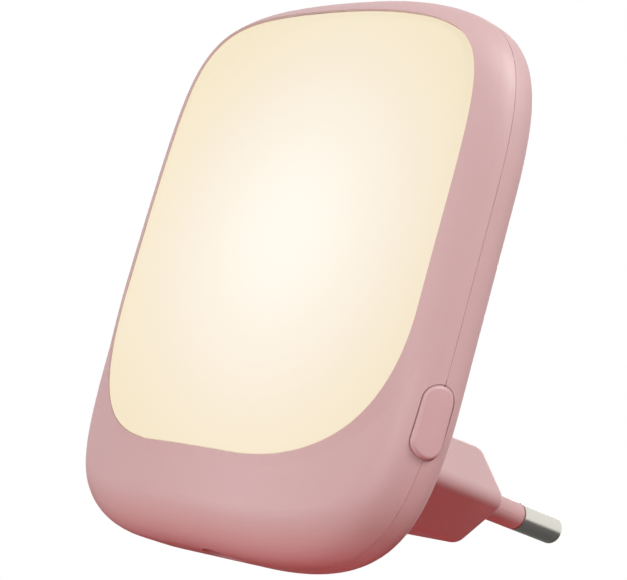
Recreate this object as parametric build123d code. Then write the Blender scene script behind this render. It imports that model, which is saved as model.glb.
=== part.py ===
from build123d import *

import math
import os

# A plug-in night light with a glowing front and a push button on its side.
# Millimetres, +Z up, +X to the right of someone who looks at the front, +Y towards the wall.
# The origin is the middle of the plug's end face, halfway between the pins.
# A place in depth is a distance ahead of that face, so it is minus Y.

# Body, front to back
body_width = 66.3
body_height = 75.7
body_below = 17.7
body_corner = 24.7
body_fullness_share = 0.775
wall = 2.0
front_shell_depth = 9.4
rear_shell_depth = 5.4
crown_across_sag = 6.7
crown_along_sag = 0.75
front_round_share = 0.76
rear_round_share = 0.44
shadow_gap = 0.1

# Lip that joins the two shells
lip_depth = 2.0
lip_thickness = 0.9
bead_radius = 0.35
bead_length = 12.0
bead_back = 1.1
fit_gap = 0.1

# Diffuser and its opening
rim_side = 3.6
rim_top = 3.2
chin_height = 12.3
window_top_corner = 28.4
window_top_fullness_share = 0.99
window_bottom_corner = 21.6
window_bottom_fullness_share = 0.65
lens_thickness = 2.0
flange_reach = 1.2
flange_thickness = 1.0

# Notch at the bottom of the front shell
notch_radius = 3.0
notch_depth = 1.5
notch_across = 3.8
notch_ahead = 1.4

# Plug base
plug_width = 35.3
plug_height = 13.7
plug_length = 28.8
plug_ridge_round = 1.8
plug_end_round = 3.0
plug_root_round = 1.2
plug_wall = 2.0
plug_end_wall = 3.0

# Contact pins and their sleeves
pin_diameter = 4.0
pin_length = 19.0
pin_tip_round = 0.7
pin_core_diameter = 2.9
pin_root_spacing = 18.6
pin_tip_spacing = 17.5
collar_diameter = 5.6
collar_thickness = 1.5
tail_diameter = 2.4
tail_length = 3.5
sleeve_root_diameter = 4.8
sleeve_length = 10.0
sleeve_end_round = 0.4
sleeve_flare = 0.3
sleeve_gap = 0.05

# Side button
button_width = 4.1
button_height = 9.1
button_centre_height = 3.2
button_proud = 0.25
button_across_radius = 7.0
button_along_radius = 150.0
button_apex_rise = 2.0
button_edge_round = 0.5
button_gap = 0.15
button_body_depth = 4.6
button_travel = 1.0
ear_thickness = 1.0
ear_reach = 1.4
ear_width = 2.0
post_diameter = 2.4

# Push switch behind the button
switch_length = 6.5
switch_thickness = 3.0
switch_height = 6.0
plunger_diameter = 2.2
plunger_reach = 1.6
plunger_seat = 2.0
plunger_gap = 0.1
leg_width = 0.6
leg_thickness = 0.25
leg_length = 1.4
leg_pitch = 2.2

# Circuit board and the bosses that carry it
board_inset = 6.5
board_thickness = 1.2
boss_height = 2.5
boss_diameter = 4.6
screw_diameter = 2.0
screw_head_diameter = 3.6
screw_head_height = 1.3
screw_grip = 3.0
screw_gap = 0.05
screw_recess_width = 0.5
screw_recess_length = 2.2
screw_recess_depth = 0.7

# Lamps on the board
lamp_columns = 3
lamp_rows = 3
lamp_side_margin = 14.2
lamp_end_margin = 14.5
lamp_width = 2.8
lamp_height = 3.5
lamp_depth = 0.8
phosphor_diameter = 2.2
phosphor_depth = 0.2

# Parts on the back of the board
part_gap = 1.0
film_height = 6.0
film_depth = 12.0
film_edge_round = 0.6
film_lead_pitch = 10.0
can_diameter = 7.6
can_length = 12.0
can_end_round = 0.5
can_lead_pitch = 3.5
lead_diameter = 0.7
lead_end = 1.0
can_film_thickness = 0.2
can_film_turn_in = 1.0
bridge_width = 4.7
bridge_height = 3.9
bridge_depth = 2.2
bridge_chamfer = 0.4
bridge_side_leg_count = 2
bridge_leg_pitch = 2.54
chip_width = 4.5
chip_height = 3.9
chip_depth = 1.5
chip_chamfer = 0.3
chip_side_leg_count = 4
chip_leg_pitch = 1.27
shoulder_length = 0.5
shoulder_rise = 0.6
foot_length = 0.6
fuse_diameter = 2.2
fuse_length = 6.4
fuse_waist_diameter = 1.8
fuse_cap_length = 1.5
bleed_width = 3.2
bleed_height = 1.6
bleed_depth = 0.6
bleed_pitch = 3.0

# Wires from the pins to the board
wire_diameter = 1.4
wire_wall_gap = 1.4
wire_bend = 4.0

# Shared by all cuts
overrun = 5.0

FORWARD = (0, -1, 0)
BACKWARD = (0, 1, 0)
SIDES = (-1, 1)
CORNERS = ((1, 1), (-1, 1), (-1, -1), (1, -1))

# Places that follow from the sizes above
rear_ahead = plug_length
parting_ahead = rear_ahead + rear_shell_depth
crown_ahead = parting_ahead + front_shell_depth
inner_rear_ahead = rear_ahead + wall
board_back_ahead = inner_rear_ahead + boss_height
board_front_ahead = board_back_ahead + board_thickness
body_half_width = body_width / 2
body_half_height = body_height / 2
side_depth = front_shell_depth + rear_shell_depth - crown_across_sag
front_round = front_round_share * side_depth
rear_round = rear_round_share * side_depth
waist_ahead = rear_ahead + rear_round
crown_across_radius = (body_half_width**2 + crown_across_sag**2) / 2 / crown_across_sag
crown_along_radius = (body_half_height**2 + crown_along_sag**2) / 2 / crown_along_sag
body_middle_height = body_half_height - body_below
window_width = body_width - 2 * rim_side
window_height = body_height - rim_top - chin_height
window_middle_height = body_middle_height + (chin_height - rim_top) / 2
board_width = body_width - 2 * board_inset
board_height = body_height - 2 * board_inset
button_back_across = body_half_width - button_body_depth
plunger_end_across = button_back_across - plunger_reach
switch_front_across = plunger_end_across - plunger_reach
toe_in = math.degrees(math.atan((pin_root_spacing - pin_tip_spacing) / 2 / pin_length))
plug_hollow_reach = plug_width / 2 - plug_wall * math.sqrt(2)
wire_across = plug_hollow_reach - wire_wall_gap - wire_diameter / 2
parts_half_width = wire_across - wire_diameter / 2 - part_gap
can_outer_diameter = can_diameter + 2 * can_film_thickness
film_width = 2 * parts_half_width - can_outer_diameter - part_gap
film_middle_across = film_width / 2 - parts_half_width
can_middle_across = parts_half_width - can_outer_diameter / 2

# Shares of the board's half width and half height, for what stands on it
boss_place_shares = ((-0.5, 0.8), (0.5, 0.8), (-0.36, -0.36))
bridge_place_share = (-0.45, 0.23)
chip_place_share = (0.4, 0.42)
fuse_place_share = (0.42, 0.1)
bleed_place_share = (-0.4, 0.55)


def soft_rectangle(width, height, top, bottom, middle_height, ahead):
    """A face across the depth: straight sides and soft corners, each with its reach and its fullness."""
    half_width = width / 2
    half_height = height / 2
    edges = []
    for across, up in CORNERS:
        corner, fullness_share = top if up > 0 else bottom
        run = half_width - corner
        rise = half_height - corner
        reach = corner * fullness_share
        edges.append(
            Bezier(
                (across * half_width, up * rise),
                (across * half_width, up * (rise + reach)),
                (across * (run + reach), up * half_height),
                (across * run, up * half_height),
            )
        )
    for side, corner in zip(SIDES, (bottom[0], top[0])):
        run = half_width - corner
        edges.append(Line((-run, side * half_height), (run, side * half_height)))
        low = bottom[0] - half_height
        edges.append(Line((side * half_width, low), (side * half_width, half_height - top[0])))
    return Plane.XZ.offset(ahead) * Pos(0, middle_height) * make_face(edges)


def body_face(inset, ahead):
    """The body's outline, drawn in by inset."""
    corner = (body_corner - inset, body_fullness_share)
    width = body_width - 2 * inset
    height = body_height - 2 * inset
    return soft_rectangle(width, height, corner, corner, body_middle_height, ahead)


def window_face(growth, ahead):
    """The outline of the diffuser's opening, grown by growth. Its lower corners are rounder."""
    top = (window_top_corner + growth, window_top_fullness_share)
    bottom = (window_bottom_corner + growth, window_bottom_fullness_share)
    width = window_width + 2 * growth
    height = window_height + 2 * growth
    return soft_rectangle(width, height, top, bottom, window_middle_height, ahead)


def crown(inset):
    """Everything behind the front's gentle double curve, which bends more across than along."""
    radius = crown_across_radius - inset
    nose = inset - crown_ahead
    span = body_half_width + overrun
    sag = radius - math.sqrt(radius**2 - span**2)
    arc = ThreePointArc((-span, nose + sag), (0, nose), (span, nose + sag))
    back = Polyline((span, nose + sag), (span, 0), (-span, 0), (-span, nose + sag))
    profile = Pos(0, 0, body_middle_height) * make_face([arc] + back.edges())
    axis = Axis((0, crown_along_radius - crown_ahead, body_middle_height), (1, 0, 0))
    spread = math.degrees(body_height / crown_along_radius)
    return revolve(profile.rotate(axis, -spread), axis, revolution_arc=2 * spread)


def whole_form(inset):
    """The whole body as a solid, drawn in by inset, with rounds that almost meet at its sides."""
    depth = crown_ahead - rear_ahead - inset + overrun
    form = extrude(body_face(inset, rear_ahead + inset), amount=depth, dir=FORWARD) & crown(inset)
    form = fillet(form.faces().sort_by(Axis.Y)[0].edges(), front_round - inset)
    return fillet(form.faces().sort_by(Axis.Y)[-1].edges(), rear_round - inset)


def slab(ahead, direction):
    """A block from a place in depth forwards or backwards, wider than the body."""
    sheet = Rectangle(body_width + overrun, body_height + overrun)
    place = Plane.XZ.offset(ahead) * Pos(0, body_middle_height)
    return extrude(place * sheet, amount=crown_ahead, dir=direction)


def front_form(inset):
    """The front of the body as a solid, drawn in by inset all round."""
    return whole_form(inset) & slab(parting_ahead, FORWARD)


def rear_form(inset, start_ahead):
    """The back of the body as a solid, drawn in by inset all round."""
    return whole_form(inset) & slab(start_ahead, BACKWARD)


def pill(growth, start_across, depth):
    """The button's pill shape as a prism along X, grown by growth."""
    outline = SlotOverall(button_height + 2 * growth, button_width + 2 * growth, rotation=90)
    place = Plane.YZ.offset(start_across) * Pos(-parting_ahead, button_centre_height)
    return extrude(place * outline, amount=depth)


def button_hole():
    """What the two shells lose so that the button can move in and out between them."""
    stroke = button_travel + button_gap
    return pill(button_gap, button_back_across - stroke, button_body_depth + stroke + overrun)


def ear_block(growth, start_across, depth):
    """The button's two ears as one bar behind its cap, grown by growth."""
    bar = Rectangle(ear_width + 2 * growth, button_height + 2 * ear_reach + 2 * growth)
    place = Plane.YZ.offset(start_across) * Pos(-parting_ahead, button_centre_height)
    return extrude(place * bar, amount=depth)


def button_relief():
    """The room that the diffuser's flange leaves for the button, its ears and its switch."""
    start = button_back_across - button_travel - button_gap
    room = 2 * button_gap
    cap_room = pill(room, start, button_body_depth + overrun)
    ear_room = ear_block(room, start, ear_thickness + button_travel + room)
    post_room = plunger_stub(post_diameter + 2 * room, switch_front_across, 2 * plunger_reach)
    switch_room = switch_block(room, parting_ahead + switch_thickness / 2 + room, switch_thickness + room)
    return cap_room + ear_room + post_room + switch_room


def on_board(place_share):
    """X and Z of a place on the board, from its shares of the half width and half height."""
    across = place_share[0] * board_width / 2
    height = body_middle_height + place_share[1] * board_height / 2
    return across, height


def along_depth(across, height, ahead):
    """A plane whose normal points at the wall, for what is built from front to back."""
    return Plane((across, -ahead, height), x_dir=(1, 0, 0), z_dir=BACKWARD)


def cylinder_back(across, height, ahead, diameter, depth):
    """A cylinder that runs from a place in depth towards the wall."""
    return extrude(along_depth(across, height, ahead) * Circle(diameter / 2), amount=depth)


def box_back(across, height, ahead, width, tall, depth):
    """A block that runs from a place in depth towards the wall."""
    return extrude(along_depth(across, height, ahead) * Rectangle(width, tall), amount=depth)


def make_front_bezel():
    """Crowned shell with the diffuser's opening, an inner lip and the notch at the bottom."""
    shell = front_form(0) - front_form(wall)
    opening_depth = crown_ahead - parting_ahead + overrun
    shell -= extrude(window_face(0, parting_ahead), amount=opening_depth, dir=FORWARD)
    lip_inset = wall - lip_thickness
    lip_start = parting_ahead + lip_depth
    lip = extrude(body_face(lip_inset, lip_start), amount=2 * lip_depth, dir=BACKWARD)
    lip -= extrude(body_face(wall, lip_start), amount=2 * lip_depth, dir=BACKWARD)
    lip &= whole_form(0)
    shell += [lip] + snap_beads(0)
    shell -= notch()
    return shell - button_hole()


def snap_beads(growth):
    """Ribs on the lip's long sides, which click into grooves of the rear shell."""
    rib = extrude(Circle(bead_radius + growth), amount=bead_length / 2 + growth, both=True)
    across = body_half_width - wall + lip_thickness
    depth = bead_back - parting_ahead
    return [Pos(side * across, depth, body_middle_height) * rib for side in SIDES]


def notch():
    """A shallow round pocket in the bottom edge, cut off where the two shells meet."""
    ceiling = Plane.XY.offset(notch_depth - body_below) * Pos(notch_across, -parting_ahead)
    pocket = Pos(0, -notch_ahead) * Circle(notch_radius)
    ahead_of_joint = Pos(0, -2 * notch_radius) * Rectangle(4 * notch_radius, 4 * notch_radius)
    return extrude(ceiling * (pocket & ahead_of_joint), amount=-notch_depth - overrun)


def make_diffuser():
    """Opal window that fills the opening flush, with a flange behind the bezel's rim."""
    depth = crown_ahead - parting_ahead + overrun
    seat = wall + fit_gap
    window = extrude(window_face(-fit_gap, parting_ahead), amount=depth, dir=FORWARD)
    flange = extrude(window_face(flange_reach, parting_ahead), amount=depth, dir=FORWARD)
    lens = (front_form(0) & window) + (front_form(seat) & flange)
    lens -= crown(seat + flange_thickness)
    hollow = extrude(window_face(-flange_reach, parting_ahead), amount=depth, dir=FORWARD)
    return lens - (hollow & crown(lens_thickness)) - button_relief()


def plug_face(inset, ahead):
    """The plug's six-sided outline with slopes at 45 degrees, drawn in by inset."""
    half_height = plug_height / 2 - inset
    half_width = plug_width / 2 - inset * math.sqrt(2)
    shoulder = half_width - half_height
    outline = Polyline(
        (half_width, 0),
        (shoulder, half_height),
        (-shoulder, half_height),
        (-half_width, 0),
        (-shoulder, -half_height),
        (shoulder, -half_height),
        close=True,
    )
    return Plane.XZ.offset(ahead) * make_face(outline)


def make_plug_base():
    """The plug's outside: six rounded ridges and a rounded end."""
    base = extrude(plug_face(0, 0), amount=inner_rear_ahead, dir=FORWARD)
    base = fillet(base.edges().filter_by(Axis.Y), plug_ridge_round)
    return fillet(base.faces().sort_by(Axis.Y)[-1].edges(), plug_end_round)


def pin_place(side):
    """Where a pin's axis meets the plug's end face, turned in towards the other pin."""
    return Pos(side * pin_root_spacing / 2, 0) * Rot(0, 0, side * toe_in)


def with_root_round(housing):
    """The rear shell with a round in the corner where the plug grows out of it."""
    at_rear = housing.edges().filter_by_position(Axis.Y, -rear_ahead - fit_gap, -rear_ahead + fit_gap)
    reach = plug_width / 2 + fit_gap
    near_plug = [edge for edge in at_rear if abs(edge.center().X) < reach]
    root = [edge for edge in near_plug if abs(edge.center().Z) < plug_height / 2 + fit_gap]
    return fillet(root, plug_root_round)


def make_rear_housing():
    """Rear shell in one piece with the hollow plug, with bosses for the board."""
    start = parting_ahead - shadow_gap
    housing = rear_form(0, start) - rear_form(wall, start)
    rebate_depth = lip_depth + fit_gap - shadow_gap
    housing -= extrude(body_face(wall - lip_thickness - fit_gap, start), amount=rebate_depth, dir=BACKWARD)
    housing -= snap_beads(fit_gap)
    housing = with_root_round(housing + make_plug_base())
    hollow_depth = inner_rear_ahead - plug_end_wall + overrun
    housing -= extrude(plug_face(plug_wall, plug_end_wall), amount=hollow_depth, dir=FORWARD)
    bore = Circle(sleeve_root_diameter / 2 + sleeve_gap)
    hole = extrude(Plane.XZ * bore, amount=plug_end_wall + overrun, both=True)
    collar_room = extrude(
        Plane.XZ.offset(plug_end_wall) * Circle(collar_diameter / 2 + fit_gap),
        amount=collar_thickness + 2 * fit_gap,
    )
    for side in SIDES:
        housing -= pin_place(side) * (hole + collar_room)
    for place_share in boss_place_shares:
        across, height = on_board(place_share)
        housing += cylinder_back(across, height, board_back_ahead, boss_diameter, boss_height)
        bore_diameter = screw_diameter + 2 * screw_gap
        housing -= cylinder_back(across, height, board_back_ahead, bore_diameter, screw_grip + fit_gap)
    return housing - button_hole()


def make_pin(side):
    """Turned pin: solder tail, collar, sleeved core and bare round end."""
    collar_front = -(plug_end_wall + fit_gap)
    collar_back = collar_front - collar_thickness
    shoulder = sleeve_length + fit_gap
    profile = Polyline(
        (0, collar_back - tail_length),
        (tail_diameter / 2, collar_back - tail_length),
        (tail_diameter / 2, collar_back),
        (collar_diameter / 2, collar_back),
        (collar_diameter / 2, collar_front),
        (pin_core_diameter / 2, collar_front),
        (pin_core_diameter / 2, shoulder),
        (pin_diameter / 2, shoulder),
        (pin_diameter / 2, pin_length),
        (0, pin_length),
        close=True,
    )
    pin = revolve(make_face(profile), Axis.Y)
    pin = fillet(pin.edges().sort_by(Axis.Y)[-1], pin_tip_round)
    return pin_place(side) * pin


def make_pin_sleeve(side):
    """Insulating tube, thicker in the plug's end wall, that runs to the bare part of the pin."""
    inner = pin_core_diameter / 2 + sleeve_gap
    profile = Polyline(
        (inner, -plug_end_wall),
        (sleeve_root_diameter / 2, -plug_end_wall),
        (sleeve_root_diameter / 2, -fit_gap),
        (pin_diameter / 2, sleeve_flare),
        (pin_diameter / 2, sleeve_length),
        (inner, sleeve_length),
        close=True,
    )
    sleeve = revolve(make_face(profile), Axis.Y)
    outer_end = sleeve.edges().group_by(Axis.Y)[-1].sort_by(SortBy.RADIUS)[-1]
    return pin_place(side) * fillet(outer_end, sleeve_end_round)


def button_crown():
    """Everything behind the button's face, which bulges a little and leans with the body's corner."""
    radius = button_across_radius
    nose = body_half_width + button_proud
    half_span = button_width
    sag = radius - math.sqrt(radius**2 - half_span**2)
    arc = ThreePointArc((nose - sag, -half_span), (nose, 0), (nose - sag, half_span))
    back = Polyline((nose - sag, half_span), (0, half_span), (0, -half_span), (nose - sag, -half_span))
    apex_height = button_centre_height + button_apex_rise
    profile = Pos(0, -waist_ahead, apex_height) * make_face([arc] + back.edges())
    axis = Axis((nose - button_along_radius, 0, apex_height), (0, 1, 0))
    spread = math.degrees(button_height / button_along_radius)
    return revolve(profile.rotate(axis, -spread), axis, revolution_arc=2 * spread)


def make_side_button():
    """Pill that follows the body's curve, with ears that hold it in and a post for the switch."""
    cap = pill(0, button_back_across, button_body_depth + overrun) & button_crown()
    face = cap.faces().sort_by(Axis.X)[-1]
    cap = fillet(face.edges(), button_edge_round)
    ears = ear_block(0, button_back_across, ear_thickness)
    post_length = plunger_reach - plunger_gap
    return cap + ears + plunger_stub(post_diameter, button_back_across - post_length, post_length)


def plunger_stub(diameter, start_across, length):
    """A cylinder on the button's axis."""
    plane = Plane.YZ.offset(start_across) * Pos(-parting_ahead, button_centre_height)
    return extrude(plane * Circle(diameter / 2), amount=length)


def switch_block(growth, ahead, thickness):
    """The switch's outline as a block, grown by growth in the board's plane."""
    middle_across = switch_front_across - switch_length / 2
    return box_back(
        middle_across,
        button_centre_height,
        ahead,
        switch_length + 2 * growth,
        switch_height + 2 * growth,
        thickness,
    )


def make_switch_body():
    """Switch that sits in a notch of the board, with a bore for its plunger."""
    ahead = parting_ahead + switch_thickness / 2
    body = switch_block(0, ahead, switch_thickness)
    depth = plunger_seat + button_travel + 2 * plunger_gap
    bore = plunger_diameter + 2 * plunger_gap
    return body - plunger_stub(bore, switch_front_across - depth, depth + overrun)


def make_switch_plunger():
    """Plunger that the button's post pushes into the switch."""
    start = switch_front_across - plunger_seat
    return plunger_stub(plunger_diameter, start, plunger_seat + plunger_reach)


def make_switch_legs():
    """Legs that stand on the board's face beside the switch and are soldered there."""
    middle_across = switch_front_across - switch_length / 2
    legs = []
    for up in SIDES:
        height = button_centre_height + up * (switch_height + leg_length) / 2
        for step in SIDES:
            across = middle_across + step * leg_pitch / 2
            ahead = board_front_ahead + leg_thickness
            legs.append(box_back(across, height, ahead, leg_width, leg_length, leg_thickness))
    return Compound(children=legs)


def make_circuit_board():
    """Board with its screw holes and the notch that the switch sits in."""
    board = extrude(body_face(board_inset, board_front_ahead), amount=board_thickness, dir=BACKWARD)
    start = board_front_ahead + overrun
    depth = board_thickness + 2 * overrun
    for place_share in boss_place_shares:
        across, height = on_board(place_share)
        board -= cylinder_back(across, height, start, screw_diameter + 2 * screw_gap, depth)
    for across in lead_places():
        board -= cylinder_back(across, 0, start, lead_diameter + 2 * fit_gap, depth)
    seat = switch_block(fit_gap, start, depth)
    return board - seat - Pos(switch_length / 2, 0, 0) * seat


def make_board_screws():
    """Slotted round-head screws through the board into the bosses."""
    screws = []
    for place_share in boss_place_shares:
        across, height = on_board(place_share)
        head_ahead = board_front_ahead + screw_head_height
        head = cylinder_back(across, height, head_ahead, screw_head_diameter, screw_head_height)
        slot = box_back(
            across,
            height,
            head_ahead,
            screw_recess_length,
            screw_recess_width,
            screw_recess_depth,
        )
        shank_length = board_thickness + screw_grip
        shank = cylinder_back(across, height, board_front_ahead, screw_diameter, shank_length)
        screws.append((head + shank) - slot)
    return Compound(children=screws)


def lamp_places():
    """X and Z of every lamp: an even grid about the middle of the diffuser."""
    column_pitch = (window_width - 2 * lamp_side_margin) / (lamp_columns - 1)
    row_pitch = (window_height - 2 * lamp_end_margin) / (lamp_rows - 1)
    for column in range(lamp_columns):
        across = (column - (lamp_columns - 1) / 2) * column_pitch
        for row in range(lamp_rows):
            rise = (row - (lamp_rows - 1) / 2) * row_pitch
            yield across, window_middle_height + rise


def make_led_packages():
    """White lamp cups, each with a round well in its face."""
    lamps = []
    for across, height in lamp_places():
        ahead = board_front_ahead + lamp_depth
        cup = box_back(across, height, ahead, lamp_width, lamp_height, lamp_depth)
        lamps.append(cup - cylinder_back(across, height, ahead, phosphor_diameter, phosphor_depth))
    return Compound(children=lamps)


def make_led_phosphors():
    """The yellow filling of every lamp's well."""
    ahead = board_front_ahead + lamp_depth
    return Compound(
        children=[
            cylinder_back(across, height, ahead, phosphor_diameter, phosphor_depth)
            for across, height in lamp_places()
        ]
    )


def make_film_capacitor():
    """Box capacitor that stands on the board and reaches into the plug's hollow."""
    box = box_back(film_middle_across, 0, board_back_ahead, film_width, film_height, film_depth)
    return fillet(box.edges().filter_by(Axis.Y) + box.faces().sort_by(Axis.Y)[-1].edges(), film_edge_round)


def make_smoothing_capacitor():
    """Aluminium can beside the film capacitor."""
    can = cylinder_back(can_middle_across, 0, board_back_ahead, can_diameter, can_length)
    return fillet(can.faces().sort_by(Axis.Y)[-1].edges(), can_end_round)


def make_capacitor_sleeve():
    """Plastic film round the can, which leaves its end bare."""
    length = can_length - can_end_round - can_film_turn_in
    film = cylinder_back(can_middle_across, 0, board_back_ahead, can_outer_diameter, length)
    return film - cylinder_back(can_middle_across, 0, board_back_ahead, can_diameter, length)


def lead_places():
    """X of the leads of both capacitors."""
    for middle, pitch in ((film_middle_across, film_lead_pitch), (can_middle_across, can_lead_pitch)):
        for side in SIDES:
            yield middle + side * pitch / 2


def make_capacitor_leads():
    """Leads that go from the capacitors through the board and end just ahead of it."""
    start = board_front_ahead + lead_end
    length = board_thickness + lead_end
    return Compound(
        children=[cylinder_back(across, 0, start, lead_diameter, length) for across in lead_places()]
    )


def chip_package(place_share, width, tall, depth, chamfer_size):
    """A small black package whose upper edges slope."""
    across, height = on_board(place_share)
    package = box_back(across, height, board_back_ahead, width, tall, depth)
    return chamfer(package.faces().sort_by(Axis.Y)[-1].edges(), chamfer_size)


def bent_leg(across, height, up):
    """A leg with a shoulder at the package's side, a riser and a foot on the board."""
    rise = shoulder_rise
    bend = shoulder_length - leg_thickness
    outline = Polyline(
        (0, rise),
        (0, rise + leg_thickness),
        (shoulder_length, rise + leg_thickness),
        (shoulder_length, leg_thickness),
        (shoulder_length + foot_length, leg_thickness),
        (shoulder_length + foot_length, 0),
        (bend, 0),
        (bend, rise),
        close=True,
    )
    side_view = Plane((across, -board_back_ahead, height), x_dir=(0, 0, up), z_dir=(-up, 0, 0))
    return extrude(side_view * make_face(outline), amount=leg_width / 2, both=True)


def make_package_legs():
    """The legs along both sides of the rectifier and the chip."""
    packages = (
        (bridge_place_share, bridge_height, bridge_side_leg_count, bridge_leg_pitch),
        (chip_place_share, chip_height, chip_side_leg_count, chip_leg_pitch),
    )
    legs = []
    for place_share, tall, count, pitch in packages:
        across, height = on_board(place_share)
        for up in SIDES:
            for index in range(count):
                step = (index - (count - 1) / 2) * pitch
                legs.append(bent_leg(across + step, height + up * tall / 2, up))
    return Compound(children=legs)


def make_fuse_resistor():
    """Axial resistor with thicker end caps, lying on the board."""
    across, height = on_board(fuse_place_share)
    half_length = fuse_length / 2
    inner = half_length - fuse_cap_length
    profile = Polyline(
        (-half_length, 0),
        (-half_length, fuse_diameter / 2),
        (-inner, fuse_diameter / 2),
        (-inner, fuse_waist_diameter / 2),
        (inner, fuse_waist_diameter / 2),
        (inner, fuse_diameter / 2),
        (half_length, fuse_diameter / 2),
        (half_length, 0),
        close=True,
    )
    body = revolve(make_face(profile), Axis.X)
    return Pos(across, -(board_back_ahead - fuse_diameter / 2 - sleeve_gap), height) * body


def make_bleed_resistors():
    """Two chip resistors side by side."""
    across, height = on_board(bleed_place_share)
    return Compound(
        children=[
            box_back(
                across,
                height + side * bleed_pitch / 2,
                board_back_ahead,
                bleed_width,
                bleed_height,
                bleed_depth,
            )
            for side in SIDES
        ]
    )


def make_wire(side):
    """Wire from the end of a pin's tail, past the capacitors, to the back of the board."""
    tail_ahead = plug_end_wall + fit_gap + collar_thickness + tail_length
    tail = pin_place(side) * Pos(0, -tail_ahead, 0)
    lead = pin_place(side) * Pos(0, -tail_ahead - wire_bend, 0)
    corner = (side * wire_across, -(tail_ahead + 3 * wire_bend), 0)
    path = FilletPolyline(
        tail.position,
        lead.position,
        corner,
        (side * wire_across, -board_back_ahead, 0),
        radius=wire_bend,
    )
    section = Plane(tail.position, z_dir=lead.position - tail.position) * Circle(wire_diameter / 2)
    return sweep(section, path=path)


def build():
    """Every piece of the night light by its name."""
    return {
        "front_bezel": make_front_bezel(),
        "diffuser": make_diffuser(),
        "rear_housing": make_rear_housing(),
        "side_button": make_side_button(),
        "pin_right": make_pin(1),
        "pin_left": make_pin(-1),
        "pin_sleeve_right": make_pin_sleeve(1),
        "pin_sleeve_left": make_pin_sleeve(-1),
        "circuit_board": make_circuit_board(),
        "board_screws": make_board_screws(),
        "led_packages": make_led_packages(),
        "led_phosphors": make_led_phosphors(),
        "film_capacitor": make_film_capacitor(),
        "smoothing_capacitor": make_smoothing_capacitor(),
        "capacitor_sleeve": make_capacitor_sleeve(),
        "capacitor_leads": make_capacitor_leads(),
        "bridge_rectifier": chip_package(
            bridge_place_share, bridge_width, bridge_height, bridge_depth, bridge_chamfer
        ),
        "driver_chip": chip_package(chip_place_share, chip_width, chip_height, chip_depth, chip_chamfer),
        "package_legs": make_package_legs(),
        "fuse_resistor": make_fuse_resistor(),
        "bleed_resistors": make_bleed_resistors(),
        "switch_body": make_switch_body(),
        "switch_plunger": make_switch_plunger(),
        "switch_legs": make_switch_legs(),
        "live_wire": make_wire(1),
        "neutral_wire": make_wire(-1),
    }


os.makedirs("parts", exist_ok=True)
for name, shape in build().items():
    export_step(shape, f"parts/{name}.step")
    print(f"{name}: {len(shape.solids())} solids, {shape.volume:.1f} cubic mm")
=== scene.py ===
# %% [markdown]
# # A plug-in night light
# This lesson dresses a night light that was built elsewhere with real sizes and real joints.
# Blender gives it its looks: a camera, soft studio light, and a finish for every piece.
# We start by loading the imported model, because it is a frame that never moves.
# Its overall box is kept now; its size is printed, and the lamps aim at its middle.

import math

import bmesh
import bpy
from mathutils import Matrix, Quaternion, Vector
from mathutils.bvhtree import BVHTree


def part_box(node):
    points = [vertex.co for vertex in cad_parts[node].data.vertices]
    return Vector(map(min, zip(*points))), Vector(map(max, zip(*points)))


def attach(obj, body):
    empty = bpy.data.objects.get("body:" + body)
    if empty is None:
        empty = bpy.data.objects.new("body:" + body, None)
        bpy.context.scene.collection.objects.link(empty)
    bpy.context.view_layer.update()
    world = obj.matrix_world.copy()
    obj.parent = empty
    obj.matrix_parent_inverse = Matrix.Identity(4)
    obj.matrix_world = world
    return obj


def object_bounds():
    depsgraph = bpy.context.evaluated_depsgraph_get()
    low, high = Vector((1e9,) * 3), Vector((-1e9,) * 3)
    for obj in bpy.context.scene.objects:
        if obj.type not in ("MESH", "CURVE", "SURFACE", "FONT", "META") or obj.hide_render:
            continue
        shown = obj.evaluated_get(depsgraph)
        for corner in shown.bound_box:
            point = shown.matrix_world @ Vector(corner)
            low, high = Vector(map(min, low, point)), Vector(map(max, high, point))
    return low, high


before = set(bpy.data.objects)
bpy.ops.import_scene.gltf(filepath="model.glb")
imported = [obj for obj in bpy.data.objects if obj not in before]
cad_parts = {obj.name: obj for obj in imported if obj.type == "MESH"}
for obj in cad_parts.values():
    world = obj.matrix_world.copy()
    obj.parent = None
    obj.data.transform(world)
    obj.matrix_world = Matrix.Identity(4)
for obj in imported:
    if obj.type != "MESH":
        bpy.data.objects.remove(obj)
cad_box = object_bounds()
print("box in mm:", [round(1000 * side, 1) for side in cad_box[1] - cad_box[0]])

# %% [markdown]
# ## The camera
# The picture is taken from the right and from a little below, with the camera turned on its own axis,
# so the lamp leans in the frame although it stands upright in the model.
# We could place the camera by eye. Angles, a place and a focal length are better,
# because each of them can be read and changed alone.
# The focal length is long, as it is for a product picture, so the sides stay almost parallel.

# %% Camera
picture_width_px = 627
focal_length_px = 1951
sensor_width_mm = 36.0
nearest_seen = 0.01
azimuth = math.radians(49.42)
elevation = math.radians(-10.72)
roll = math.radians(15.65)
camera_place = Vector((0.19564, -0.19750, -0.02880))

towards_camera = Vector((
    math.sin(azimuth) * math.cos(elevation),
    -math.cos(azimuth) * math.cos(elevation),
    math.sin(elevation),
))
lens = bpy.data.cameras.new("camera")
lens.sensor_fit = "HORIZONTAL"
lens.sensor_width = sensor_width_mm
lens.lens = focal_length_px / picture_width_px * sensor_width_mm
lens.clip_start = nearest_seen
camera = bpy.data.objects.new("camera", lens)
camera.rotation_mode = "QUATERNION"
camera.rotation_quaternion = towards_camera.to_track_quat("Z", "Y") @ Quaternion((0, 0, 1), roll)
camera.location = camera_place
bpy.context.scene.collection.objects.link(camera)
bpy.context.scene.camera = camera
bpy.context.scene.view_settings.view_transform = "Standard"
print("camera", [round(1000 * c) for c in camera_place], "mm, lens", round(lens.lens, 1), "mm")

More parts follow.
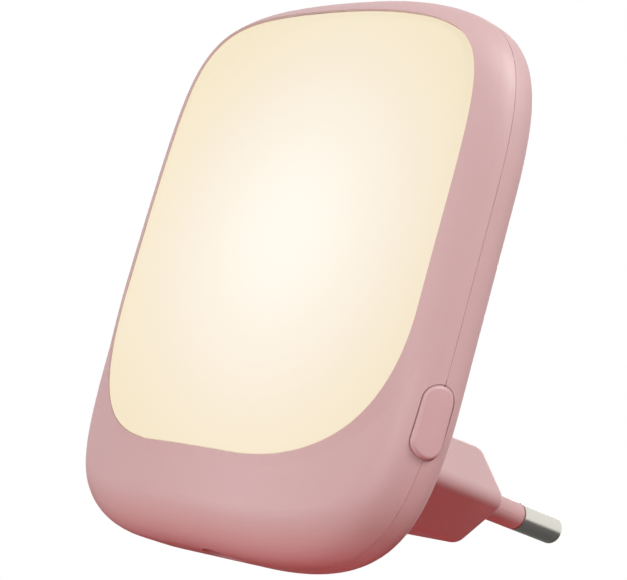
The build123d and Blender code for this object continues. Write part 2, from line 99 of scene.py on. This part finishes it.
# %% [markdown]
# ## Helpers for node materials
# Every finish below is a small tree of shader nodes on Object coordinates, so a pattern stays
# where it is on the piece. A few helpers keep the trees short: they make a material and hand out
# its Principled shader, add a node and fill in its sockets by name, link sockets, and blend colours.

# %% Node helpers
def new_finish(name):
    """A node material and its Principled shader."""
    material = bpy.data.materials.new(name)
    material.use_nodes = True
    return material, material.node_tree.nodes["Principled BSDF"]


def add_node(material, kind, sockets=None, **settings):
    """A node of this kind. A socket takes a value, or the output of another node."""
    node = material.node_tree.nodes.new(kind)
    for name, value in settings.items():
        setattr(node, name, value)
    for name, value in (sockets or {}).items():
        if isinstance(value, bpy.types.NodeSocket):
            material.node_tree.links.new(value, node.inputs[name])
        else:
            node.inputs[name].default_value = value
    return node


def join(material, output, socket):
    """Links one socket to another."""
    material.node_tree.links.new(output, socket)


def blended(material, factor, first, second):
    """A blend of two colours. Each of them is a value, or the output of another node."""
    sockets = {"Factor": factor, "A": first, "B": second}
    return add_node(material, "ShaderNodeMix", sockets, data_type="RGBA").outputs["Result"]


def linear(red, green, blue):
    """A colour as it is read off a screen, from 0 to 255, as the light that Blender works with."""
    shares = [part / 255 for part in (red, green, blue)]
    light = [s / 12.92 if s <= 0.04045 else ((s + 0.055) / 1.055) ** 2.4 for s in shares]
    return (*light, 1.0)


print("helpers ready; mid grey is", round(linear(128, 128, 128)[0], 3))

# %% [markdown]
# ## The floor
# The floor is plain and pale and keeps the shadow of what stands over it. A faint glow that only
# the camera sees keeps it pale far from the lamps too. A pale floor would also fill the underside
# with white, which is deep and rosy in the picture. We could lay real cloth there, but it would show.
# So only diffuse rays find a rosy patch under the object, as if it stood over a cloth of its own colour,
# and a pale floor beyond it. Mirrored in metal the floor is grey, like the card that a photographer
# lays under a bright pin to give it a dark side.

# %% Floor
floor_height = -0.12
floor_reach = 2.0
floor_pale = linear(158, 157, 156)
floor_paler = linear(164, 163, 162)
mottle_per_metre = 6.0
floor_roughness = 0.8
rosy_bounce = (0.71, 0.01, 0.01, 1.0)
pale_bounce = (0.3, 0.3, 0.3, 1.0)
cloth_middle = (0.0, 0.02, 0.0)
cloth_reach = 0.15
cloth_fade = 0.1
grey_card = (0.08, 0.08, 0.08, 1.0)
glow_colour = linear(250, 249, 248)
floor_glow = 0.42


def make_floor():
    """A pale square under everything, which is part of the stage."""
    bpy.ops.mesh.primitive_plane_add(size=2 * floor_reach, location=(0, 0, floor_height))
    floor = bpy.context.object
    floor.name = "floor"
    material, shader = new_finish("pale_floor")
    place = add_node(material, "ShaderNodeTexCoord").outputs["Object"]
    path = add_node(material, "ShaderNodeLightPath").outputs
    mottle = add_node(material, "ShaderNodeTexNoise", {"Vector": place, "Scale": mottle_per_metre})
    pale = blended(material, mottle.outputs["Fac"], floor_pale, floor_paler)
    away = add_node(material, "ShaderNodeVectorMath", {0: place, 1: cloth_middle}, operation="DISTANCE")
    bare = add_node(material, "ShaderNodeMapRange", {
        "Value": away.outputs["Value"],
        "From Min": cloth_reach,
        "From Max": cloth_reach + cloth_fade,
    })
    bounce = blended(material, bare.outputs["Result"], rosy_bounce, pale_bounce)
    lit = blended(material, path["Is Diffuse Ray"], pale, bounce)
    seen = blended(material, path["Is Glossy Ray"], lit, grey_card)
    join(material, seen, shader.inputs["Base Color"])
    glow = add_node(
        material, "ShaderNodeMath", {0: path["Is Camera Ray"], 1: floor_glow}, operation="MULTIPLY"
    )
    shader.inputs["Emission Color"].default_value = glow_colour
    join(material, glow.outputs["Value"], shader.inputs["Emission Strength"])
    shader.inputs["Roughness"].default_value = floor_roughness
    floor.data.materials.append(material)
    return floor


print("floor at", 1000 * make_floor().location.z, "mm")

# %% [markdown]
# ## The surroundings
# The picture has a white background, so the world is white to the camera, in metal and through glass.
# As light it is almost dark, because the lamps do that work and a bright sky would flatten the forms.
# The Light Path node tells these cases apart, so one world serves for both.

# %% World
ambient = (0.02, 0.02, 0.02, 1.0)
white = (1.0, 1.0, 1.0, 1.0)


def make_world():
    """White where it is seen, and almost dark as light."""
    world = bpy.data.worlds.new("studio")
    world.use_nodes = True
    bpy.context.scene.world = world
    background = world.node_tree.nodes["Background"]
    path = add_node(world, "ShaderNodeLightPath").outputs
    seen = path["Is Camera Ray"]
    for kind in ("Is Glossy Ray", "Is Transmission Ray"):
        either = add_node(world, "ShaderNodeMath", {0: seen, 1: path[kind]}, operation="MAXIMUM")
        seen = either.outputs["Value"]
    join(world, blended(world, seen, ambient, white), background.inputs["Color"])
    background.inputs["Strength"].default_value = 1.0


make_world()
print("world: white to the eye, and", ambient[0], "as light")

# %% [markdown]
# ## Lamps
# The front of the picture is evenly lit down to its lower edge, so two soft lamps stand low in front.
# The right side is the lightest, and most so at the top: a strong lamp hangs over it,
# with a weak one beside it. The last lamp stands behind, out of the picture's sight,
# so that the back isn't lost in the dark. All are wide and white, so no shadow has a hard edge.

# %% Lamps
lamp_size = 0.3


def add_lamp(name, place, power):
    """A square area lamp that looks at the middle of the object."""
    light = bpy.data.lights.new(name, "AREA")
    light.energy = power
    light.size = lamp_size
    lamp = bpy.data.objects.new(name, light)
    middle = (cad_box[0] + cad_box[1]) / 2
    lamp.location = place
    lamp.rotation_mode = "QUATERNION"
    lamp.rotation_quaternion = (middle - Vector(place)).to_track_quat("-Z", "Y")
    bpy.context.scene.collection.objects.link(lamp)
    return lamp


add_lamp("front_left", (-0.45, -0.8, 0.03), 3.5)
add_lamp("front_right", (0.4, -0.8, 0.03), 3.1)
add_lamp("right", (0.8, 0.05, 0.35), 0.4)
add_lamp("over_right", (0.55, 0.1, 0.75), 7.6)
add_lamp("behind", (-0.6, 0.65, 0.3), 3.0)

# %% [markdown]
# ## Dusty pink moulded plastic
# Both shells, the button and the sleeves of the pins come out of a mould with a fine satin texture.
# A flat colour would look like paint on a screen, so three things vary a little:
# the pigment drifts over centimetres, the roughness over fractions of a millimetre,
# and a bump of a few hundredths of a millimetre gives the grain of the mould.

# %% Moulded plastic
drift_per_metre = 45.0
gloss_spread = 0.05
grain_low, grain_high = 0.3, 0.7
grain_strength = 0.25
grain_height = 0.00003
plastic_specular = 0.4


def moulded_plastic(name, colour, pigment, roughness, grain_per_metre=2600.0):
    """Satin plastic with a drifting pigment and the grain of its mould."""
    material, shader = new_finish(name)
    place = add_node(material, "ShaderNodeTexCoord").outputs["Object"]
    drift_sockets = {"Vector": place, "Scale": drift_per_metre, "Detail": 3.0}
    drift = add_node(material, "ShaderNodeTexNoise", drift_sockets).outputs["Fac"]
    join(material, blended(material, drift, colour, pigment), shader.inputs["Base Color"])
    grain_sockets = {"Vector": place, "Scale": grain_per_metre, "Detail": 2.0}
    grain = add_node(material, "ShaderNodeTexNoise", grain_sockets).outputs["Fac"]
    gloss = add_node(material, "ShaderNodeMapRange", {
        "Value": grain,
        "From Min": grain_low,
        "From Max": grain_high,
        "To Min": roughness - gloss_spread,
        "To Max": roughness + gloss_spread,
    })
    join(material, gloss.outputs["Result"], shader.inputs["Roughness"])
    bump_sockets = {"Height": grain, "Strength": grain_strength, "Distance": grain_height}
    bump = add_node(material, "ShaderNodeBump", bump_sockets)
    join(material, bump.outputs["Normal"], shader.inputs["Normal"])
    shader.inputs["Specular IOR Level"].default_value = plastic_specular
    return material


pink_shell = moulded_plastic("pink_shell", linear(202, 166, 166), linear(205, 170, 170), 0.5)
pink_button = moulded_plastic("pink_button", linear(202, 163, 164), linear(205, 167, 168), 0.48)
pink_sleeve = moulded_plastic("pink_sleeve", linear(202, 163, 162), linear(205, 167, 166), 0.45)
print("pink finishes ready")

# %% [markdown]
# ## The glowing opal window
# The window is milky plastic with lamps behind it, so it really glows, and it turns cream towards its rim.
# Its brightest point is moved a little right of its middle. That shift is painted light:
# the side of the dome that faces the camera is painted brighter. We could put real lamps behind
# a scattering solid, which is slow and noisy. An emission that falls off with the distance from one point
# gives the same look at once. Distances are counted in half widths and half heights of the window,
# and bent sideways, so that the point can be moved while both side edges stay where they are.

# %% Opal window
window_low, window_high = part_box("diffuser")
window_middle = (window_low + window_high) / 2
window_half = (window_high - window_low) / 2
# Painted light: how far the brightest point is moved right, where the dome faces the camera.
painted_bright_shift = 0.26
glow_reach = 1.3
glow_stops = (
    (0.0, (255, 250, 238)),
    (0.25, (254, 247, 234)),
    (0.5, (249, 240, 222)),
    (0.75, (246, 233, 209)),
    (1.0, (242, 228, 195)),
    (1.3, (239, 222, 184)),
)
glow_strength = 0.8
milk_per_metre = 900.0
milk_colour = (0.2, 0.19, 0.17, 1)
milk_specular = 0.2


def glowing_opal():
    """Milky plastic, lit from behind: warm white where it is brightest, cream at the rim."""
    material, shader = new_finish("glowing_opal")
    place = add_node(material, "ShaderNodeTexCoord").outputs["Object"]
    centred = add_node(material, "ShaderNodeMapping", {"Vector": place}, vector_type="TEXTURE")
    centred.inputs["Location"].default_value = window_middle
    centred.inputs["Scale"].default_value = window_half
    sides = add_node(material, "ShaderNodeSeparateXYZ", {"Vector": centred.outputs["Vector"]})
    across = sides.outputs["X"]
    square = add_node(material, "ShaderNodeMath", {0: across, 1: across}, operation="MULTIPLY").outputs[0]
    # Painted light: bending the distances moves the bright point right, towards the side that faces the
    # camera.
    bent_sockets = {0: square, 1: painted_bright_shift, 2: across}
    bent = add_node(material, "ShaderNodeMath", bent_sockets, operation="MULTIPLY_ADD").outputs[0]
    shifted = add_node(material, "ShaderNodeMath", {0: bent, 1: painted_bright_shift}, operation="SUBTRACT")
    flat = add_node(material, "ShaderNodeCombineXYZ", {"X": shifted.outputs[0], "Z": sides.outputs["Z"]})
    away = add_node(material, "ShaderNodeVectorMath", {0: flat.outputs["Vector"]}, operation="LENGTH")
    share_sockets = {0: away.outputs["Value"], 1: glow_reach}
    share = add_node(material, "ShaderNodeMath", share_sockets, operation="DIVIDE")
    fall = add_node(material, "ShaderNodeValToRGB", {"Fac": share.outputs[0]})
    stops = fall.color_ramp.elements
    stops[1].position = 1.0
    while len(stops) < len(glow_stops):
        stops.new(0.5)
    for stop, (distance, colour) in zip(stops, glow_stops):
        stop.position = distance / glow_reach
        stop.color = linear(*colour)
    join(material, fall.outputs["Color"], shader.inputs["Emission Color"])
    shader.inputs["Emission Strength"].default_value = glow_strength
    milk_sockets = {"Vector": place, "Scale": milk_per_metre, "Detail": 2.0}
    milk = add_node(material, "ShaderNodeTexNoise", milk_sockets).outputs["Fac"]
    gloss = add_node(material, "ShaderNodeMapRange", {"Value": milk, "To Min": 0.5, "To Max": 0.6})
    join(material, gloss.outputs["Result"], shader.inputs["Roughness"])
    shader.inputs["Base Color"].default_value = milk_colour
    shader.inputs["Specular IOR Level"].default_value = milk_specular
    return material


opal = glowing_opal()
print("window middle in mm:", [round(1000 * c, 1) for c in window_middle])

# %% [markdown]
# ## Nickel pins
# The bare ends of the pins are turned and plated. Turning leaves fine rings round the pin,
# so a wave along the pin's axis drives a very small bump. A noise makes the plating a little hazy.

# %% Nickel
nickel_colour = linear(218, 215, 206)
rings_per_metre = 1200.0
ring_strength = 0.08
ring_height = 0.00002
haze_per_metre = 700.0


def turned_nickel():
    """Bright plating over fine turning rings."""
    material, shader = new_finish("turned_nickel")
    place = add_node(material, "ShaderNodeTexCoord").outputs["Object"]
    rings = add_node(
        material,
        "ShaderNodeTexWave",
        {"Vector": place, "Scale": rings_per_metre, "Distortion": 0.4, "Detail": 1.0},
        wave_type="BANDS",
        bands_direction="Y",
    )
    bump_sockets = {"Height": rings.outputs["Fac"], "Strength": ring_strength, "Distance": ring_height}
    bump = add_node(material, "ShaderNodeBump", bump_sockets)
    join(material, bump.outputs["Normal"], shader.inputs["Normal"])
    haze_sockets = {"Vector": place, "Scale": haze_per_metre}
    haze = add_node(material, "ShaderNodeTexNoise", haze_sockets).outputs["Fac"]
    gloss = add_node(material, "ShaderNodeMapRange", {"Value": haze, "To Min": 0.16, "To Max": 0.28})
    join(material, gloss.outputs["Result"], shader.inputs["Roughness"])
    shader.inputs["Base Color"].default_value = nickel_colour
    shader.inputs["Metallic"].default_value = 1.0
    return material


nickel = turned_nickel()
print("nickel ready")

# %% [markdown]
# ## What the shells hide
# The board and its parts show only when someone opens the model, but each of them gets a finish.
# The recipe for the shells serves for all of them, with other colours and another grain.

# %% Inner finishes
pigment_drift = 0.88


def plain_plastic(name, colour, roughness):
    """Moulded plastic whose pigment drifts towards a darker tone."""
    darker = tuple(pigment_drift * part for part in colour[:3]) + (1.0,)
    return moulded_plastic(name, colour, darker, roughness, grain_per_metre=1800.0)


def brushed_metal(name, colour, roughness):
    """Metal with a fine grain."""
    material = moulded_plastic(name, colour, colour, roughness, grain_per_metre=3200.0)
    material.node_tree.nodes["Principled BSDF"].inputs["Metallic"].default_value = 1.0
    return material


finish_of = {
    "front_bezel": pink_shell,
    "rear_housing": pink_shell,
    "side_button": pink_button,
    "pin_sleeve_right": pink_sleeve,
    "pin_sleeve_left": pink_sleeve,
    "diffuser": opal,
    "pin_right": nickel,
    "pin_left": nickel,
    "circuit_board": plain_plastic("board_white", linear(236, 236, 230), 0.4),
    "board_screws": brushed_metal("screw_steel", linear(180, 180, 178), 0.35),
    "led_packages": plain_plastic("lamp_white", linear(244, 244, 240), 0.3),
    "led_phosphors": plain_plastic("phosphor", linear(250, 214, 92), 0.3),
    "film_capacitor": plain_plastic("film_box", linear(226, 182, 60), 0.35),
    "smoothing_capacitor": brushed_metal("can_metal", linear(206, 206, 208), 0.3),
    "capacitor_sleeve": plain_plastic("can_film", linear(34, 40, 66), 0.3),
    "capacitor_leads": brushed_metal("tinned_lead", linear(196, 196, 190), 0.3),
    "package_legs": brushed_metal("tinned_leg", linear(196, 196, 190), 0.3),
    "bridge_rectifier": plain_plastic("rectifier_black", linear(30, 30, 32), 0.55),
    "driver_chip": plain_plastic("chip_black", linear(28, 28, 30), 0.5),
    "fuse_resistor": plain_plastic("resistor_green", linear(88, 132, 108), 0.45),
    "bleed_resistors": plain_plastic("resistor_black", linear(32, 32, 34), 0.45),
    "switch_body": plain_plastic("switch_black", linear(34, 34, 36), 0.5),
    "switch_plunger": plain_plastic("plunger_white", linear(226, 226, 218), 0.45),
    "switch_legs": brushed_metal("tinned_switch_leg", linear(196, 196, 190), 0.3),
    "live_wire": plain_plastic("wire_brown", linear(86, 50, 30), 0.4),
    "neutral_wire": plain_plastic("wire_blue", linear(36, 72, 150), 0.4),
}
for node, finish in finish_of.items():
    node_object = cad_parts[node]
    node_object.data.materials.clear()
    node_object.data.materials.append(finish)
print("finished", len(finish_of), "of", len(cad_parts), "nodes")

# %% [markdown]
# ## Following an edge of the shell
# Two thin forms below follow edges of the shells. We could type their outlines in again,
# but the loaded mesh knows them already: an edge is where a face that looks forward meets a side wall.
# We take a merged copy of the mesh, delete all but such an edge, and subdivide it into small steps.
# Each vertex keeps its way out from the middle in a layer, which the subdivision blends for us.

# %% Edge helpers
same_place = 1e-6
step_along = 0.0007
wall_lean = 0.35
wall_facing = 0.3
forward = Vector((0, -1, 0))


def merged_copy(node):
    """A node's mesh with its loose triangles joined, as a bmesh."""
    mesh = bmesh.new()
    mesh.from_mesh(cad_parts[node].data)
    bmesh.ops.remove_doubles(mesh, verts=mesh.verts, dist=same_place)
    return mesh


def strip_to_edge(mesh, front_share, sense, last_y):
    """Leaves one edge of a shell, ahead of last_y, in short steps with their way out.

    The wall beside the edge looks inwards where sense is -1, and outwards where it is 1.
    """
    way = mesh.verts.layers.float_vector.new("way_out")
    corners = [vert.co for vert in mesh.verts]
    middle = Vector([(min(c[i] for c in corners) + max(c[i] for c in corners)) / 2 for i in range(3)])
    level = Vector((1, 0, 1))
    kept = set()
    for edge in mesh.edges:
        face, wall = sorted((f.normal for f in edge.link_faces), key=lambda normal: normal.y)
        out = sense * wall * level
        facing = min(out.dot(((vert.co - middle) * level).normalized()) for vert in edge.verts)
        ahead = face.y < -front_share and max(vert.co.y for vert in edge.verts) < last_y
        if ahead and abs(wall.y) < wall_lean and facing > wall_facing:
            kept.add(edge)
            for vert in edge.verts:
                vert[way] = vert[way] + out
    bmesh.ops.delete(mesh, geom=[edge for edge in mesh.edges if edge not in kept], context="EDGES")
    for vert in mesh.verts:
        vert[way] = vert[way].normalized()
    for edge in mesh.edges[:]:
        cuts = math.ceil(edge.calc_length() / step_along) - 1
        if cuts > 0:
            bmesh.ops.subdivide_edges(mesh, edges=[edge], cuts=cuts)


print("helpers ready; they step by", 1000 * step_along, "mm")

# %% [markdown]
# ## From an edge to a ring
# A wire that runs round the object becomes a solid ring by extruding it once for each corner
# of its section, and by bridging the last copy back to the first.
# Every extruded vertex inherits the number of its step, so it can be sent to its own place.

# %% Ring helper
sharp_angle = math.radians(35)


def swept_ring(name, mesh, section):
    """A solid along the edges in mesh. For a place and its way out, section gives the corners there."""
    way = mesh.verts.layers.float_vector["way_out"]
    step = mesh.verts.layers.int.new("step")
    cuts = [section(vert.co.copy(), vert[way].normalized()) for vert in mesh.verts]
    for number, vert in enumerate(mesh.verts):
        vert[step] = number
        vert.co = cuts[number][0]
    first = wire = mesh.edges[:]
    for corner in range(1, len(cuts[0])):
        made = bmesh.ops.extrude_edge_only(mesh, edges=wire)["geom"]
        fresh = {part for part in made if isinstance(part, bmesh.types.BMVert)}
        for vert in fresh:
            vert.co = cuts[vert[step]][corner]
        edges = [part for part in made if isinstance(part, bmesh.types.BMEdge)]
        wire = [edge for edge in edges if fresh.issuperset(edge.verts)]
    bmesh.ops.bridge_loops(mesh, edges=first + wire)
    bmesh.ops.holes_fill(mesh, edges=mesh.edges, sides=len(cuts[0]))
    bmesh.ops.recalc_face_normals(mesh, faces=mesh.faces)
    for face in mesh.faces:
        face.smooth = True
    for edge in mesh.edges:
        edge.smooth = edge.calc_face_angle(0) < sharp_angle
    mesh.verts.layers.int.remove(step)
    mesh.verts.layers.float_vector.remove(way)
    data = bpy.data.meshes.new(name)
    mesh.to_mesh(data)
    mesh.free()
    piece = bpy.data.objects.new(name, data)
    bpy.context.scene.collection.objects.link(piece)
    return piece


print("ring helper ready; edges over", round(math.degrees(sharp_angle)), "degrees stay sharp")

# %% [markdown]
# ## The lip round the window
# On the real object the bezel stands a little proud of the window, so its far side shows
# as a thin pink line against the white. The shell that we load is flush there.
# Its mesh must stay as it is, so we lay a thin skin over it. The skin is highest at the window's edge,
# fades out over the rim, and is much lower along the chin, where the picture shows no step.
# Rays that are shot from the front say where the shell's surface is.
# The wall that faces the window gets a lighter pink than the shell. That is painted light, not a colour of
# its own:
# a lit copy of the same plastic, so that the wall still looks pink in the warm light.

# %% Window lip
bezel_front = 0.3
window_back = -0.036
lip_height = 0.0005
lip_curve = 1.2
lip_fade = 0.0024
lip_steps = (0.015, 0.08, 0.2, 0.4, 0.6, 0.8, 1.0)
lip_round = 0.00004
chin_share = 0.15
chin_turn = 1.4
skin_depth = 0.00003
wall_depth = 0.0004
wall_steepness = 0.6
ray_start = 0.05
# Painted light: a lighter copy of the shell's pink for the wall that faces the window.
pink_painted_lit_wall = moulded_plastic("pink_painted_lit_wall", linear(212, 190, 203), linear(215, 194, 207), 0.5)


def make_lip():
    """A skin on the bezel that swells towards the window."""
    mesh = merged_copy("front_bezel")
    surface = BVHTree.FromBMesh(mesh)
    strip_to_edge(mesh, bezel_front, -1, window_back)

    def section(place, out):
        """From the foot of the wall up to its top, and out over the rim."""
        upwards = min(1.0, max(0.0, 1.0 + chin_turn * out.z))
        top = lip_height * (chin_share + (1 - chin_share) * upwards)
        skin = []
        for share in lip_steps:
            above = place + out * share * lip_fade + forward * ray_start
            height = top * (1 - share) ** lip_curve - skin_depth * share
            skin.append(surface.ray_cast(above, -forward)[0] + forward * height)
        edge = skin[0] - out * lip_steps[0] * lip_fade
        return [edge - forward * (top + wall_depth), edge - forward * lip_round, *skin]

    lip = swept_ring("window_lip", mesh, section)
    lip.data.materials.append(pink_shell)
    lip.data.materials.append(pink_painted_lit_wall)
    # The faces of the wall that look towards the window get the painted lighter pink.
    for face in lip.data.polygons:
        if abs(face.normal.y) < wall_steepness and face.normal.dot(window_middle - face.center) > 0:
            face.material_index = 1
    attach(lip, "housing")
    return lip


print("lip:", len(make_lip().data.polygons), "faces")

# %% [markdown]
# ## The seam between the shells
# The shells meet in a fine groove. In the model the groove is a slit as deep as the wall, which turns black.
# On a real moulding the lip of one shell lies just under the groove and stops the eye,
# so a thin band fills the slit almost to the surface. It leaves the button's place free.

# %% Seam band
joint_face = 0.95
seam_back = -0.034
seam_inset = 0.00006
seam_depth = 0.0006
seam_width = 0.0001
button_high = 0.0091
button_wide = 0.0041
button_middle = Vector((0, -0.0342, 0.0032))
button_play = 0.00025


def make_seam():
    """A band just under the surface, where the shells meet."""
    mesh = merged_copy("rear_housing")
    strip_to_edge(mesh, joint_face, 1, seam_back)
    free = button_high / 2 + button_play
    beside_button = []
    for edge in mesh.edges:
        lower = min((vert.co for vert in edge.verts), key=lambda place: place.z)
        if lower.x > 0 and abs(lower.z - button_middle.z) < free:
            beside_button.append(edge)
    bmesh.ops.delete(mesh, geom=beside_button, context="EDGES")

    def section(place, out):
        """From just under the surface down to the root, and as wide as the groove."""
        rim, root, ahead = place - out * seam_inset, place - out * seam_depth, forward * seam_width
        return [rim, rim + ahead, root + ahead, root]

    band = swept_ring("seam_band", mesh, section)
    band.data.materials.append(pink_shell)
    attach(band, "housing")
    return band


print("seam:", len(make_seam().data.polygons), "faces")

# %% [markdown]
# ## The groove round the button
# The button has a little play in its hole, and the picture shows the groove as a soft rosy line.
# A bare slit would be black, so the button wears a thin collar just under the surface, which catches light.
# It starts as a circle that is drawn out into the button's pill. It moves with the button
# and stays clear of the hole. Rays from the right find the shells' surface beside it.

# %% Button collar
collar_reach = 0.00011
collar_below = 0.00007
collar_depth = 0.0006
beside_hole = 0.0004
turns = 96
right = Vector((1, 0, 0))


def make_collar():
    """A thin pill-shaped ring round the button, just under the shells' surface."""
    surfaces = []
    for node in ("front_bezel", "rear_housing"):
        shell = merged_copy(node)
        surfaces.append(BVHTree.FromBMesh(shell))
        shell.free()
    mesh = bmesh.new()
    way = mesh.verts.layers.float_vector.new("way_out")
    upright = Matrix.Rotation(math.pi / 2, 4, "Y") @ Matrix.Rotation(math.pi / turns, 4, "Z")
    bmesh.ops.create_circle(mesh, segments=turns, radius=1.0, matrix=upright)
    for vert in mesh.verts:
        vert[way] = vert.co

    def section(place, out):
        """From the button's wall across the groove, and down into it."""
        straight = math.copysign((button_high - button_wide) / 2, out.z)
        side = button_middle + out * button_wide / 2 + Vector((0, 0, straight))
        above = side + out * beside_hole + right * ray_start
        hits = [surface.ray_cast(above, -right)[0] for surface in surfaces]
        top = right * (max(hit.x for hit in hits if hit) - collar_below)
        low = top - right * collar_depth
        inner, outer = side - out * collar_reach / 2, side + out * collar_reach
        return [top + inner, top + outer, low + outer, low + inner]

    collar = swept_ring("button_collar", mesh, section)
    collar.data.materials.append(pink_button)
    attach(collar, "button")
    return collar


print("collar:", len(make_collar().data.polygons), "faces")
